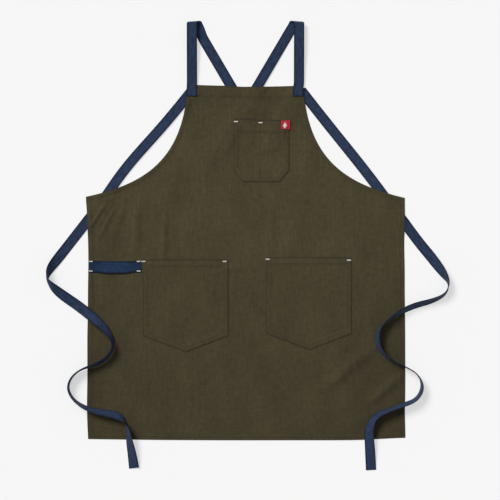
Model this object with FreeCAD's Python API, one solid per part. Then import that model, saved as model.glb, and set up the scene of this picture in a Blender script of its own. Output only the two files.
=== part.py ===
import FreeCAD, Part
import math
import os

# Cross-back bib apron, lying face up on a table.
#
# Frame, in millimetres: +Z is up out of the table, +Y runs from the skirt to the bib and +X to the
# right as seen from above. The origin is on the table, under the middle of the apron without its
# free ties. Heights called "low" and "high" below are counted from the underside of the panel,
# which lies on the table at the skirt and on the straps at the wings and bib.

# Thicknesses
CLOTH = 1.0
TURNED = 1.0            # the extra layers of a turned hem
WEB = 1.3
THREAD = 0.5
LABEL = 0.7

# Panel
BIB_TOP = 357.0
BIB_HALF = 142.5
ARMHOLE_HANDLES = [(153.4, 176.5), (244.4, 114.8)]
WING_Y = 80.0
WING_HALF = 394.0
HEM_HALF = 391.0
HEM_CORNER_Y = -513.0
HEM_MIDDLE_Y = -516.0
LIFT = 4.0              # underside of the wings and bib, which lie on the straps
LIFT_FROM_Y = -45.0
LIFT_TO_Y = -8.0
FOLD_GAP = 0.4          # between the skirt's and the bib's solids at the fold line

# Hems
TOP_HEM = 27.0
ARMHOLE_HEM = 9.0
SIDE_HEM = 12.0
BOTTOM_HEM = 9.0
SEAM_IN = 1.5           # from a hem's inner edge to its stitching
SEAM_WIDTH = 0.8
SEAM_CLEAR = 1.0        # between a seam and the seam that it stops short of

# Pockets: outlines run down the left side, along the bottom and up the right side
POCKET_GAP = 4.6        # room left inside each pocket
POCKET_SEAM = 6.0       # sewn margin
STITCH_ROWS = (2.0, 10.0)
CHEST_LEFT, CHEST_RIGHT = -29.5, 107.5
CHEST_TOP_LEFT, CHEST_TOP_RIGHT, CHEST_BOTTOM = 275.0, 270.5, 120.5
CHEST_CLIP_X, CHEST_CLIP_Y = 24.0, 28.0
CHEST_HEM = 29.5
PEN_SLOT_X, PEN_SLOT_TOP = 37.0, 272.5
PEN_SLOT_WALL = 3.0
HIP_WIDTH = 210.0
HIP_SIDE = 187.0
HIP_POINT = 40.5
HIP_HEM = 15.0
LEFT_HIP_X, LEFT_HIP_TOP = -148.0, -72.5
RIGHT_HIP_X, RIGHT_HIP_TOP = 156.5, -67.0

# Trim
CHEST_TACKS = [(-23.5, 268.2), (37.0, 266.0)]
HIP_TACKS = [(-247.0, -76.5), (-51.5, -76.5), (54.5, -71.0), (255.5, -73.5)]
LABEL_SIDE = 21.0
LABEL_CENTRE = (99.0, 260.5)
TACK_LENGTH, TACK_WIDTH, TACK_HEIGHT = 9.0, 3.0, 0.9
LOOP_WIDTH = 29.0
LOOP_Y = -89.5
LOOP_LEFT, LOOP_RIGHT = -387.0, -257.0
LOOP_SEWN = 10.0
LOOP_RISE = 14.0        # run over which the loop lifts off the panel
LOOP_GAP = 4.8

# Straps: one webbing each, from a bib corner over the shoulder to the opposite wing
WEB_WIDTH = 25.4
STRAP_X = 132.0
STRAP_SEWN_Y = 331.0
STRAP_TOP_Y = 516.0
STRAP_ROLL = 6.0        # radius of the roll at the top
ROLL_STEPS = 10
LOW_LAYER, HIGH_LAYER = 0.8, 2.4    # middles of the two layers of webbing under the bib
TAIL_LAYER = 1.75
# for the left (-1) and right (1) shoulder strap, which ends up on the other side
ROLL_LEAN = {-1: 6.3, 1: 11.9}      # how far its back leg leaves the roll towards the middle
UNDER_FOLD = {-1: (56.5, 199.0), 1: (-62.4, 199.0)}
# for the left and right side of the apron
CORNER_FOLD = {-1: (-128.5, 350.0), 1: (134.3, 350.0)}
PIVOT = {-1: (-391.5, 22.5), 1: (391.5, 20.5)}      # where a tie leaves the side edge and swings
TAIL_BOW = {-1: 7.1, 1: 2.0}        # how far the webbing bows outwards on its way to the wing
TAIL_STEPS = 12
TAIL_GAP = 0.4
KEEPER_FROM_PIVOT = 45.5
KEEPER_WIDTH = 20.0
KEEPER_CLOTH = 0.8
KEEPER_PROFILE = [(27.0, 3.6), (19.0, 3.6), (15.0, 0.4)]    # half length out, height of its middle

# Free ties. Each point is x, y, the height it rests at, and the tilt of the webbing in degrees:
# 0 lies flat and 90 stands on its edge with the outer edge up.
OVER = 2.5              # on the skirt's hems, with a little room
LEFT_TIE = [
    (-391.5, 22.5, 1.1, 0), (-426, -22, 0, 0), (-457.5, -62.5, 0, 5), (-485.5, -98, 0, 46),
    (-487.5, -125, 0, 118), (-455, -156, 0, 172), (-411, -187, OVER, 180), (-370.5, -219, OVER, 206),
    (-337, -248, OVER, 232), (-321.5, -280.5, OVER, 284), (-336, -310, OVER, 280),
    (-367, -331, OVER, 244), (-402.5, -339.5, OVER, 262), (-430.5, -361, 0, 265),
    (-440, -390, 0, 262), (-423, -419.5, 2.0, 256), (-389, -440, OVER, 245), (-349.5, -449.5, OVER, 238),
    (-309, -456, OVER, 226), (-291, -481.5, OVER, 266), (-285, -521, OVER, 236),
    (-280.5, -553.5, 0, 218), (-275, -586.5, 0, 180),
]
RIGHT_TIE = [
    (391.5, 20.5, 1.1, 0), (423.5, -24, 0, 0), (457, -64, 0, 8), (487, -105, 0, 40),
    (503, -134.5, 0, 95), (490.5, -159.5, 0, 110), (457, -174.5, 0, 118), (420, -184, 2.0, 122),
    (388, -197.5, OVER, 118), (357.5, -216, OVER, 108), (331.5, -236, OVER, 90), (322, -265.5, OVER, 64),
    (330.5, -295, OVER, 70), (358, -321, OVER, 80), (392.5, -335.5, OVER, 84), (424.5, -352, 1.0, 94),
    (438, -386.5, 0, 76), (422.5, -417.5, 2.0, 70), (388, -430, OVER, 66), (349, -443.5, OVER, 64),
    (316, -459.5, OVER, 54), (303.5, -493, OVER, 34), (306, -525, OVER, 22), (308.5, -559, 0, 10),
    (310, -591.5, 0, 0),
]
ROUNDING = 0.45         # share of the shorter run that each rounded turn uses

FAR = 700.0             # beyond every edge
UP = FreeCAD.Vector(0, 0, 1)


# Plane geometry

def vec(x, y, z=0.0):
    return FreeCAD.Vector(x, y, z)


def left_of(direction):
    return vec(-direction.y, direction.x)


def unit(a, b):
    """The direction from point a to point b in the plane."""
    return vec(b[0] - a[0], b[1] - a[1]).normalize()


def mirrored(points):
    return [(-x, y) for x, y in reversed(points)]


def crossing(p, along_p, q, along_q):
    """Where the line through p meets the line through q."""
    share = (q - p).cross(along_q).z / along_p.cross(along_q).z
    return p + along_p * share


def shifted(points, distance):
    """An open run of points moved sideways, to its left, with its corners kept sharp."""
    spots = [vec(x, y) for x, y in points]
    ways = [(b - a).normalize() for a, b in zip(spots, spots[1:])]
    moved = [spots[0] + left_of(ways[0]) * distance]
    for spot, way, next_way in zip(spots[1:], ways, ways[1:]):
        side, next_side = left_of(way) * distance, left_of(next_way) * distance
        if way.getAngle(next_way) < 1e-6:
            moved.append(spot + side)
        else:
            moved.append(crossing(spot + side, way, spot + next_side, next_way))
    moved.append(spots[-1] + left_of(ways[-1]) * distance)
    return [(p.x, p.y) for p in moved]


def band(points, width):
    """The outline of a strip of that width along an open run of points."""
    return shifted(points, width / 2) + shifted(points, -width / 2)[::-1]


def armhole(count=24):
    """Points down the right armhole, from the bib's corner to the wing's."""
    curve = Part.BezierCurve()
    corners = [(BIB_HALF, BIB_TOP), *ARMHOLE_HANDLES, (WING_HALF, WING_Y)]
    curve.setPoles([vec(x, y) for x, y in corners])
    spots = [curve.value(i / count) for i in range(count + 1)]
    return [(p.x, p.y) for p in spots]


# Solids

def polygon(points):
    corners = [vec(x, y) for x, y in points]
    return Part.Face(Part.makePolygon(corners + corners[:1]))


def slab(low, high):
    """Everything between two heights over the panel's underside, as the panel lies."""
    line = [(-FAR, 0.0), (LIFT_FROM_Y, 0.0), (LIFT_TO_Y, LIFT), (FAR, LIFT)]
    under = [vec(-FAR, y, z + low) for y, z in line]
    over = [vec(-FAR, y, z + high) for y, z in reversed(line)]
    return Part.Face(Part.makePolygon(under + over + under[:1])).extrude(vec(2 * FAR, 0))


def laid(face, low, high):
    """A flat outline as cloth of that height range on the panel."""
    column = face.copy()
    column.translate(vec(0, 0, -FAR / 2))
    return column.extrude(UP * FAR).common(slab(low, high)).removeSplitter()


def between(shape, y_low, y_high):
    box = Part.makeBox(2 * FAR, y_high - y_low, 2 * FAR, vec(-FAR, y_low, -FAR))
    return shape.common(box)


def skirt_side(shape):
    return between(shape, -FAR, WING_Y - FOLD_GAP / 2)


def bib_side(shape):
    return between(shape, WING_Y + FOLD_GAP / 2, FAR)


def ribbon(stations):
    """A strap through sections of (middle, half-width vector, half-thickness vector)."""
    sections = []
    for middle, w, h in stations:
        corners = [middle + w + h, middle - w + h, middle - w - h, middle + w - h]
        sections.append(Part.makePolygon(corners + corners[:1]))
    return Part.makeLoft(sections, True, True)


# Panel and hems

def panel_outline():
    armhole_poles = [vec(BIB_HALF, BIB_TOP)]
    armhole_poles += [vec(x, y) for x, y in ARMHOLE_HANDLES]
    armhole_poles += [vec(WING_HALF, WING_Y)]
    right = Part.BezierCurve()
    right.setPoles(armhole_poles)
    left = Part.BezierCurve()
    left.setPoles([vec(-p.x, p.y) for p in reversed(armhole_poles)])
    wing, hem = vec(WING_HALF, WING_Y), vec(HEM_HALF, HEM_CORNER_Y)
    far_wing, far_hem = vec(-WING_HALF, WING_Y), vec(-HEM_HALF, HEM_CORNER_Y)
    edges = [
        Part.makeLine(vec(-BIB_HALF, BIB_TOP), vec(BIB_HALF, BIB_TOP)),
        right.toShape(),
        Part.makeLine(wing, hem),
        Part.Arc(hem, vec(0, HEM_MIDDLE_Y), far_hem).toShape(),
        Part.makeLine(far_hem, far_wing),
        left.toShape(),
    ]
    return Part.Face(Part.Wire(edges))


def armhole_strip(side, middle_in, width):
    """A strip along one armhole, its middle that far in from the edge."""
    points = shifted(armhole(), -middle_in)
    if side < 0:
        points = mirrored(points)
    return polygon(band(points, width))


def side_strip(side, middle_in, width):
    top = (side * (WING_HALF - middle_in), WING_Y)
    foot = (side * (HEM_HALF - middle_in), HEM_CORNER_Y + BOTTOM_HEM)
    return polygon(band([top, foot], width))


def bottom_strip(middle_in, width):
    """A strip along the hem, which bows down a little in the middle."""
    low, high = middle_in - width / 2, middle_in + width / 2
    inset = 0.0 if low == 0 else SIDE_HEM
    ends = HEM_HALF - inset
    lower = Part.Arc(
        vec(-ends, HEM_CORNER_Y + low), vec(0, HEM_MIDDLE_Y + low), vec(ends, HEM_CORNER_Y + low)
    ).toShape()
    upper = Part.Arc(
        vec(ends, HEM_CORNER_Y + high), vec(0, HEM_MIDDLE_Y + high), vec(-ends, HEM_CORNER_Y + high)
    ).toShape()
    sides = [
        Part.makeLine(vec(ends, HEM_CORNER_Y + low), vec(ends, HEM_CORNER_Y + high)),
        Part.makeLine(vec(-ends, HEM_CORNER_Y + high), vec(-ends, HEM_CORNER_Y + low)),
    ]
    return Part.Face(Part.Wire([lower, sides[0], upper, sides[1]]))


def hem(face):
    return laid(face, CLOTH, CLOTH + TURNED)


def hem_seam(face):
    return laid(face, CLOTH + TURNED, CLOTH + TURNED + THREAD)


def panel_and_hems():
    whole = laid(panel_outline(), 0, CLOTH)
    top_hem_y = BIB_TOP - TOP_HEM
    nodes = {
        "skirt_panel": skirt_side(whole),
        "bib_panel": bib_side(whole),
        "bib_top_hem": between(hem(panel_outline()), top_hem_y, BIB_TOP),
        "bottom_hem": hem(bottom_strip(BOTTOM_HEM / 2, BOTTOM_HEM)),
    }
    armhole_seam_in = ARMHOLE_HEM - SEAM_IN
    side_seam_in = SIDE_HEM - SEAM_IN
    top_seam = polygon(band([(-BIB_HALF + 6, top_hem_y + SEAM_IN), (BIB_HALF - 6, top_hem_y + SEAM_IN)],
                            SEAM_WIDTH))
    bib_seams = [hem_seam(top_seam)]
    skirt_seams = [hem_seam(bottom_strip(BOTTOM_HEM - SEAM_IN, SEAM_WIDTH))]
    for side, name in ((-1, "left"), (1, "right")):
        strip = hem(armhole_strip(side, ARMHOLE_HEM / 2, ARMHOLE_HEM))
        seam = hem_seam(armhole_strip(side, armhole_seam_in, SEAM_WIDTH))
        nodes[name + "_armhole_hem"] = between(bib_side(strip), -FAR, top_hem_y)
        bib_seams.append(between(bib_side(seam), -FAR, top_hem_y))
        nodes[name + "_side_hem"] = skirt_side(hem(side_strip(side, SIDE_HEM / 2, SIDE_HEM)))
        skirt_seams.append(skirt_side(hem_seam(side_strip(side, side_seam_in, SEAM_WIDTH))))
    nodes["bib_hem_stitching"] = Part.makeCompound(bib_seams)
    nodes["skirt_hem_stitching"] = Part.makeCompound(skirt_seams)
    return nodes


# Pockets

def chest_outline():
    return [
        (CHEST_LEFT, CHEST_TOP_LEFT),
        (CHEST_LEFT, CHEST_BOTTOM + CHEST_CLIP_Y),
        (CHEST_LEFT + CHEST_CLIP_X, CHEST_BOTTOM),
        (CHEST_RIGHT - CHEST_CLIP_X, CHEST_BOTTOM),
        (CHEST_RIGHT, CHEST_BOTTOM + CHEST_CLIP_Y),
        (CHEST_RIGHT, CHEST_TOP_RIGHT),
    ]


def hip_outline(middle, top):
    half = HIP_WIDTH / 2
    return [
        (middle - half, top),
        (middle - half, top - HIP_SIDE),
        (middle, top - HIP_SIDE - HIP_POINT),
        (middle + half, top - HIP_SIDE),
        (middle + half, top),
    ]


def pocket(outline, wall=None):
    """A pocket held open: its front cloth and sewn margin, with an open mouth at the top."""
    inside = shifted(outline, POCKET_SEAM)
    mouth = outline[0][1] + POCKET_GAP
    inside = [(inside[0][0], mouth)] + inside[1:-1] + [(inside[-1][0], mouth)]
    room = laid(polygon(inside), CLOTH, CLOTH + POCKET_GAP)
    if wall:
        room = room.cut(laid(polygon(wall), CLOTH, CLOTH + POCKET_GAP))
    return laid(polygon(outline), CLOTH, 2 * CLOTH + POCKET_GAP).cut(room)


def pocket_top(face, height):
    """Something that lies on a pocket's front."""
    low = 2 * CLOTH + POCKET_GAP
    return laid(face, low, low + height)


def pocket_seams(outline, hem_depth):
    rows = [shifted(outline, distance) for distance in STITCH_ROWS]
    seams = [pocket_top(polygon(band(row, SEAM_WIDTH)), THREAD) for row in rows]
    (left, left_top), (right, right_top) = outline[0], outline[-1]
    inset = STITCH_ROWS[1] + SEAM_CLEAR
    across = [(left + inset, left_top - hem_depth), (right - inset, right_top - hem_depth)]
    return seams + [pocket_top(polygon(band(across, SEAM_WIDTH)), THREAD)]


def tack(x, y):
    return polygon(band([(x - TACK_LENGTH / 2, y), (x + TACK_LENGTH / 2, y)], TACK_WIDTH))


def pocket_tacks(places):
    return Part.makeCompound([pocket_top(tack(x, y), TACK_HEIGHT) for x, y in places])


def pockets():
    chest = chest_outline()
    left_hip = hip_outline(LEFT_HIP_X, LEFT_HIP_TOP)
    right_hip = hip_outline(RIGHT_HIP_X, RIGHT_HIP_TOP)
    slot_run = [(PEN_SLOT_X, CHEST_BOTTOM), (PEN_SLOT_X, PEN_SLOT_TOP)]
    slot_seam_ends = [CHEST_BOTTOM + STITCH_ROWS[1] + SEAM_CLEAR, PEN_SLOT_TOP - CHEST_HEM - SEAM_CLEAR]
    slot_seam_run = [(PEN_SLOT_X, y) for y in slot_seam_ends]
    slot_seam = pocket_top(polygon(band(slot_seam_run, SEAM_WIDTH)), THREAD)
    half = LABEL_SIDE / 2
    label_run = [(LABEL_CENTRE[0] - half, LABEL_CENTRE[1]), (LABEL_CENTRE[0] + half, LABEL_CENTRE[1])]
    return {
        "chest_pocket": pocket(chest, band(slot_run, PEN_SLOT_WALL)),
        "left_hip_pocket": pocket(left_hip),
        "right_hip_pocket": pocket(right_hip),
        "label": pocket_top(polygon(band(label_run, LABEL_SIDE)), LABEL),
        "chest_pocket_stitching": Part.makeCompound(pocket_seams(chest, CHEST_HEM) + [slot_seam]),
        "hip_pocket_stitching": Part.makeCompound(
            pocket_seams(left_hip, HIP_HEM) + pocket_seams(right_hip, HIP_HEM)
        ),
        "chest_bar_tacks": pocket_tacks(CHEST_TACKS),
        "hip_bar_tacks": pocket_tacks(HIP_TACKS),
    }


# Towel loop

def towel_loop():
    """A flat webbing loop, sewn at both ends and standing off the panel between them."""
    half_width, half_web = vec(0, LOOP_WIDTH / 2), UP * (WEB / 2)
    on_hem, on_cloth = CLOTH + TURNED + WEB / 2, CLOTH + WEB / 2
    raised = CLOTH + LOOP_GAP + WEB / 2
    profile = [
        (LOOP_LEFT, on_hem),
        (LOOP_LEFT + LOOP_SEWN, on_hem),
        (LOOP_LEFT + LOOP_SEWN + LOOP_RISE, raised),
        (LOOP_RIGHT - LOOP_SEWN - LOOP_RISE, raised),
        (LOOP_RIGHT - LOOP_SEWN, on_cloth),
        (LOOP_RIGHT, on_cloth),
    ]
    loop = ribbon([(vec(x, LOOP_Y, z), half_width, half_web) for x, z in profile])
    tack_y = LOOP_WIDTH / 2 - TACK_WIDTH / 2
    loop_tacks = [
        Part.makeBox(TACK_LENGTH, TACK_WIDTH, TACK_HEIGHT,
                     vec(x - TACK_LENGTH / 2, LOOP_Y + side * tack_y - TACK_WIDTH / 2, z + WEB / 2))
        for x, z in ((LOOP_LEFT + 5, on_hem), (LOOP_RIGHT - 5, on_cloth))
        for side in (-1, 1)
    ]
    return {"towel_loop": loop, "towel_loop_bar_tacks": Part.makeCompound(loop_tacks)}


# Straps

def flat_station(place, height, way, face=1):
    """A section of webbing lying flat; face is -1 where it lies with its underside up."""
    w = left_of(way) * (WEB_WIDTH / 2 * face)
    return vec(*place, height), w, UP * (WEB / 2 * face)


def fold_stations(place, from_height, to_height, way, next_way, face, steps=6):
    """Sections round a fold, from one layer to another, along its crease."""
    crease = (way + next_way).normalize()
    if crease.dot(left_of(way)) * face < 0:
        crease = -crease
    length = WEB_WIDTH / 2 / abs(crease.cross(way).z)
    out = (way - crease * way.dot(crease)).normalize()
    middle = vec(*place, (from_height + to_height) / 2)
    radius = abs(to_height - from_height) / 2
    rise = 1 if to_height > from_height else -1
    stations = []
    for i in range(steps + 1):
        turn = math.pi * i / steps
        spoke = out * math.sin(turn) - UP * (math.cos(turn) * rise)
        stations.append((middle + spoke * radius, crease * length, spoke * (-rise * face * WEB / 2)))
    return stations


def crossed_strap(side, own_layer, other_layer):
    """One webbing, from the bib corner on that side (-1 is left) to the opposite wing's pivot."""
    x = side * STRAP_X
    away, back = vec(0, 1), vec(0, -1)
    on_bib = LIFT + CLOTH + TURNED + WEB / 2
    low = LOW_LAYER
    roll_y = STRAP_TOP_Y - STRAP_ROLL - WEB / 2
    roll_top = low + 2 * STRAP_ROLL
    under, corner, pivot = UNDER_FOLD[side], CORNER_FOLD[-side], PIVOT[-side]
    start = vec(x - side * ROLL_LEAN[side], roll_y)
    down = unit(start, under)
    up_again = unit(under, corner)
    out = unit(corner, pivot)

    stations = [
        flat_station((x, STRAP_SEWN_Y), on_bib, away),
        flat_station((x, BIB_TOP + 2), on_bib, away),
        flat_station((x, roll_y - 30), roll_top, away),
    ]
    roll = fold_stations((x, roll_y), roll_top, low, away, vec(-1e-6, -1), 1, ROLL_STEPS)
    for i, (middle, half_width, half_web) in enumerate(roll):
        lean = ROLL_LEAN[side] * (1 - math.cos(math.pi * i / ROLL_STEPS)) / 2
        stations.append((middle - vec(side * lean, 0), half_width, half_web))
    on_back = [(28.0, low), (80.0, low), (130.0, own_layer)]
    for distance, height in on_back:
        spot = start + down * distance
        stations.append(flat_station((spot.x, spot.y), height, down, -1))
    near = vec(*under) - down * 14
    stations.append(flat_station((near.x, near.y), own_layer, down, -1))
    stations += fold_stations(under, own_layer, other_layer, down, up_again, -1)
    for distance in (14.0, (vec(*corner) - vec(*under)).Length - 14):
        spot = vec(*under) + up_again * distance
        stations.append(flat_station((spot.x, spot.y), other_layer, up_again))
    stations += fold_stations(corner, other_layer, own_layer, up_again, out, 1)
    length = (vec(*pivot) - vec(*corner)).Length
    end = length - WEB_WIDTH / 2 - TAIL_GAP
    outwards = left_of(out) * side
    for i in range(TAIL_STEPS + 1):
        share = i / TAIL_STEPS
        bow = TAIL_BOW[-side] * math.sin(math.pi * share ** 1.5) ** 2
        height = own_layer + (TAIL_LAYER - own_layer) * min(1, share / 0.6)
        spot = vec(*corner) + out * (14 + (end - 14) * share) + outwards * bow
        stations.append(flat_station((spot.x, spot.y), height, out, -1))
    return ribbon(stations)


def keeper_place(side):
    """Its direction along the webbing, the one across it, and its middle."""
    along = unit(PIVOT[side], CORNER_FOLD[side])
    return along, left_of(along), vec(*PIVOT[side]) + along * KEEPER_FROM_PIVOT


def keeper(side):
    """A loop sewn behind the wing, across the strap, that the webbing slides through."""
    along, across, middle = keeper_place(side)
    half_width, half_cloth = along * (KEEPER_WIDTH / 2), UP * (KEEPER_CLOTH / 2)
    ends = [(-out, height) for out, height in KEEPER_PROFILE]
    ends += [(out, height) for out, height in reversed(KEEPER_PROFILE)]
    return ribbon([(middle + across * out + UP * height, half_width, half_cloth) for out, height in ends])


def keeper_seams(side):
    """The two rows of stitches that hold a keeper, seen on the front of the wing."""
    along, across, middle = keeper_place(side)
    rows = []
    for out in (-23.0, 23.0):
        spot = middle + across * out
        ends = [spot - along * 6, spot + along * 6]
        on_cloth = laid(polygon(band([(p.x, p.y) for p in ends], SEAM_WIDTH)), CLOTH, CLOTH + THREAD)
        rows.append(on_cloth)
    return rows


def strap_seams(side):
    """Two rows of stitches across the sewn end of a shoulder strap."""
    low = LIFT + CLOTH + TURNED + WEB
    half = WEB_WIDTH / 2 - 3
    return [
        Part.makeBox(2 * half, SEAM_WIDTH, THREAD, vec(side * STRAP_X - half, y, low))
        for y in (STRAP_SEWN_Y + 3, BIB_TOP - 4)
    ]


def straps():
    left = crossed_strap(-1, LOW_LAYER, HIGH_LAYER)
    right = crossed_strap(1, HIGH_LAYER, LOW_LAYER)
    return {
        "left_shoulder_strap": bib_side(left),
        "right_shoulder_strap": bib_side(right),
        "right_strap_tail": skirt_side(left),
        "left_strap_tail": skirt_side(right),
        "left_keeper": keeper(-1),
        "right_keeper": keeper(1),
        "keeper_stitching": Part.makeCompound(keeper_seams(-1) + keeper_seams(1)),
        "strap_stitching": Part.makeCompound(strap_seams(-1) + strap_seams(1)),
    }


# Free ties

def rounded_route(route, steps=5):
    """Straight runs joined by tangent arcs: places, directions, and how far along the route they are."""
    points = [vec(x, y) for x, y, _, _ in route]
    runs = [b - a for a, b in zip(points, points[1:])]
    stops, radii = [(points[0], runs[0], 0.0)], []
    for i in range(1, len(points) - 1):
        before, after = runs[i - 1], runs[i]
        cut = ROUNDING * min(before.Length, after.Length)
        turn = math.atan2(before.cross(after).z, before.dot(after))
        radius = cut / math.tan(abs(turn) / 2)
        radii.append(radius)
        way_in = vec(before.x, before.y).normalize()
        centre = points[i] - way_in * cut + left_of(way_in) * math.copysign(radius, turn)
        spoke = points[i] - way_in * cut - centre
        for k in range(steps + 1):
            share = k / steps
            swing = FreeCAD.Rotation(UP, math.degrees(turn) * share)
            low, high = i - cut / before.Length, i + cut / after.Length
            stops.append((centre + swing.multVec(spoke), swing.multVec(way_in), low + (high - low) * share))
    stops.append((points[-1], runs[-1], float(len(points) - 1)))
    return stops, radii


def blended(route, column, where):
    """A column of the route's list, between its points."""
    i = min(int(where), len(route) - 2)
    return route[i][column] + (route[i + 1][column] - route[i][column]) * (where - i)


def tie(route, side):
    """A free tie: webbing that lies flat, stands on its edge and turns over along its route."""
    stops, radii = rounded_route(route)
    stations, middles = [], []
    for place, way, where in stops:
        way = vec(way.x, way.y).normalize()
        tilt = math.radians(blended(route, 3, where))
        outward = left_of(way) * side
        w = outward * math.cos(tilt) + UP * math.sin(tilt)
        h = UP * math.cos(tilt) - outward * math.sin(tilt)
        rest = blended(route, 2, where)
        height = rest + WEB_WIDTH / 2 * abs(math.sin(tilt)) + WEB / 2 * abs(math.cos(tilt))
        middles.append(vec(place.x, place.y, height))
        stations.append((middles[-1], w * (WEB_WIDTH / 2), h * (WEB / 2)))
    webbing = ribbon(stations)
    length = sum((b - a).Length for a, b in zip(middles, middles[1:]))
    volume = length * WEB_WIDTH * WEB
    print(f"tie: length {length:.0f}, radii {min(radii):.0f} to {max(radii):.0f}, "
          f"volume {webbing.Volume:.0f} for a section times length of {volume:.0f}, {webbing.isValid()}")
    end = Part.makeCylinder(WEB_WIDTH / 2, WEB, vec(route[0][0], route[0][1], route[0][2]))
    return webbing.fuse(end)


# Thread is cut away where something is sewn over it.
SEWN_OVER = [
    ("bib_hem_stitching", "left_shoulder_strap"),
    ("bib_hem_stitching", "right_shoulder_strap"),
    ("chest_pocket_stitching", "chest_bar_tacks"),
    ("chest_pocket_stitching", "label"),
    ("hip_pocket_stitching", "hip_bar_tacks"),
    ("keeper_stitching", "left_side_hem"),
    ("keeper_stitching", "right_side_hem"),
    ("skirt_hem_stitching", "towel_loop"),
]


def main():
    nodes = {**panel_and_hems(), **pockets(), **towel_loop(), **straps()}
    for thread, cover in SEWN_OVER:
        nodes[thread] = nodes[thread].cut(nodes[cover])
    nodes["left_tie"] = tie(LEFT_TIE, -1)
    nodes["right_tie"] = tie(RIGHT_TIE, 1)
    os.makedirs("parts", exist_ok=True)
    for name, shape in nodes.items():
        if not shape.isValid() or not shape.Solids:
            print("not a valid solid:", name, len(shape.Solids))
        shape.exportStep(f"parts/{name}.step")


main()
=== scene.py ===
"""Looks of a cross-back bib apron that lies face up on a table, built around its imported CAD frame."""

import math

import bmesh
import bpy
import numpy as np
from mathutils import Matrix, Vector
from mathutils.geometry import delaunay_2d_cdt


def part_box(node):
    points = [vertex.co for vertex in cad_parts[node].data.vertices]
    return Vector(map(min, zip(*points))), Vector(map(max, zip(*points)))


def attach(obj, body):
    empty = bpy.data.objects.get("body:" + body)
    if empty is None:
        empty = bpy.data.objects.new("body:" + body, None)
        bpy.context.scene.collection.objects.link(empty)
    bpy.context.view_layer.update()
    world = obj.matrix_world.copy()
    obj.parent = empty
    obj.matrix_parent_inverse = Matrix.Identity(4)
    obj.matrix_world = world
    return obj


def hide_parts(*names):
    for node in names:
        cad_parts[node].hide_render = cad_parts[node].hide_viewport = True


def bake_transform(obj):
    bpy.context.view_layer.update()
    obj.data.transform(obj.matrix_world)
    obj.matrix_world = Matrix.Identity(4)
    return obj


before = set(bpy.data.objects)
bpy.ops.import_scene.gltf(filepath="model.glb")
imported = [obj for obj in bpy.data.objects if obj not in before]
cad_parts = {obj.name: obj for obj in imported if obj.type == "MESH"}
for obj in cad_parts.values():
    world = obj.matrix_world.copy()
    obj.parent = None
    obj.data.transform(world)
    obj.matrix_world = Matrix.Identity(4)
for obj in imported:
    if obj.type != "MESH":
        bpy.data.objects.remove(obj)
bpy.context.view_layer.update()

# Sizes, in metres
CLOTH = 0.0008
WEB_WIDTH, WEB = 0.0254, 0.0013
THREAD = 0.0005
AIR = 0.0001            # between webbing and the cloth under it

# The panel and its hems
LEFT_WING, RIGHT_WING = (-0.3937, 0.0830), (0.3932, 0.0802)
LEFT_CORNER, RIGHT_CORNER = (-0.3885, -0.5147), (0.3945, -0.5117)
HEM_BOW = 0.003
BIB_HALF, BIB_TOP = 0.1425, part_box("bib_panel")[1].y
TOP_EDGE_SAG = 0.0032
TOP_EDGE_STEP = 0.0022  # the bib's left part lies a little higher
ARMHOLE_HANDLES = [(0.1534, 0.1765), (0.2444, 0.1148)]
HEM_WIDTH = {
    "top": 0.027, "bottom": 0.009, "left_arm": 0.009, "right_arm": 0.009, "left": 0.012, "right": 0.012,
}
HEM_NODES = {           # for each edge, its CAD node and the shares of the edge that the hem runs between
    "top": ("bib_top_hem", 0.0, 1.0),
    "bottom": ("bottom_hem", 0.0, 1.0),
    "left_arm": ("left_armhole_hem", 0.07, 1.0),
    "right_arm": ("right_armhole_hem", 0.0, 0.93),
    "left": ("left_side_hem", 0.004, 0.98),
    "right": ("right_side_hem", 0.02, 0.996),
}
SEAM_SHARES = {         # and the shares that its stitches run between
    "top": (0.03, 0.97), "left_arm": (0.01, 0.99), "right_arm": (0.01, 0.99),
    "bottom": (0.015, 0.985), "left": (0.02, 0.985), "right": (0.02, 0.985),
}
HEM_STEP = 0.0025       # how gradually the cloth climbs over a hem's inner edge
SEAM_IN = 0.0015        # from a hem's inner edge to its stitching
HEM_BACK = 0.0004       # how far the turned layers stay in from the edge
DIMPLE = 0.00030        # how deep the stitches draw the cloth in
PANEL_RINGS = [0, 0.0008, 0.0022, 0.0045, 0.0066, 0.0078, 0.0090, 0.0105, 0.0120, 0.0140, 0.0170]
HEM_RINGS = [0, 0.0006, 0.0016, 0.0030]
PANEL_MESH = (0.004, 0.0042)            # point spacing along the edges and inside


# Plane geometry

def bezier(corners, count):
    t = np.linspace(0, 1, count)[:, None]
    a, b, c, d = (np.array(p, float) for p in corners)
    return a * (1 - t) ** 3 + 3 * b * t * (1 - t) ** 2 + 3 * c * t * t * (1 - t) + d * t ** 3


def line(a, b, count=2):
    return np.linspace(np.array(a, float), np.array(b, float), count)


def closed_lines(corners, count):
    """The straight sides from corner to corner, and back to the first."""
    return [line(a, b, count) for a, b in zip(corners, corners[1:] + corners[:1])]


def lengths(points):
    """How far along a run of points each one is."""
    return np.r_[0, np.linalg.norm(np.diff(points, axis=0), axis=1).cumsum()]


def between(places, known, rows):
    """Rows of numbers at some places, given such rows at known places."""
    return np.stack([np.interp(places, known, column) for column in np.array(rows).T], 1)


def along(points, places):
    """The points that lie those distances along a run."""
    return between(places, lengths(points), points)


def every(points, step, start=0):
    """Points a step apart along a run."""
    return along(points, np.arange(start, lengths(points)[-1], step))


def unit(vectors):
    return vectors / np.linalg.norm(vectors, axis=-1, keepdims=True)


def directions(points):
    return unit(np.gradient(np.array(points, float), axis=0))


def way_to(a, b):
    return unit(np.array(b, float) - np.array(a, float))


def left_of(ways):
    return np.stack([-ways[..., 1], ways[..., 0]], -1)


def smooth(t):
    t = np.clip(t, 0, 1)
    return t * t * (3 - 2 * t)


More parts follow.
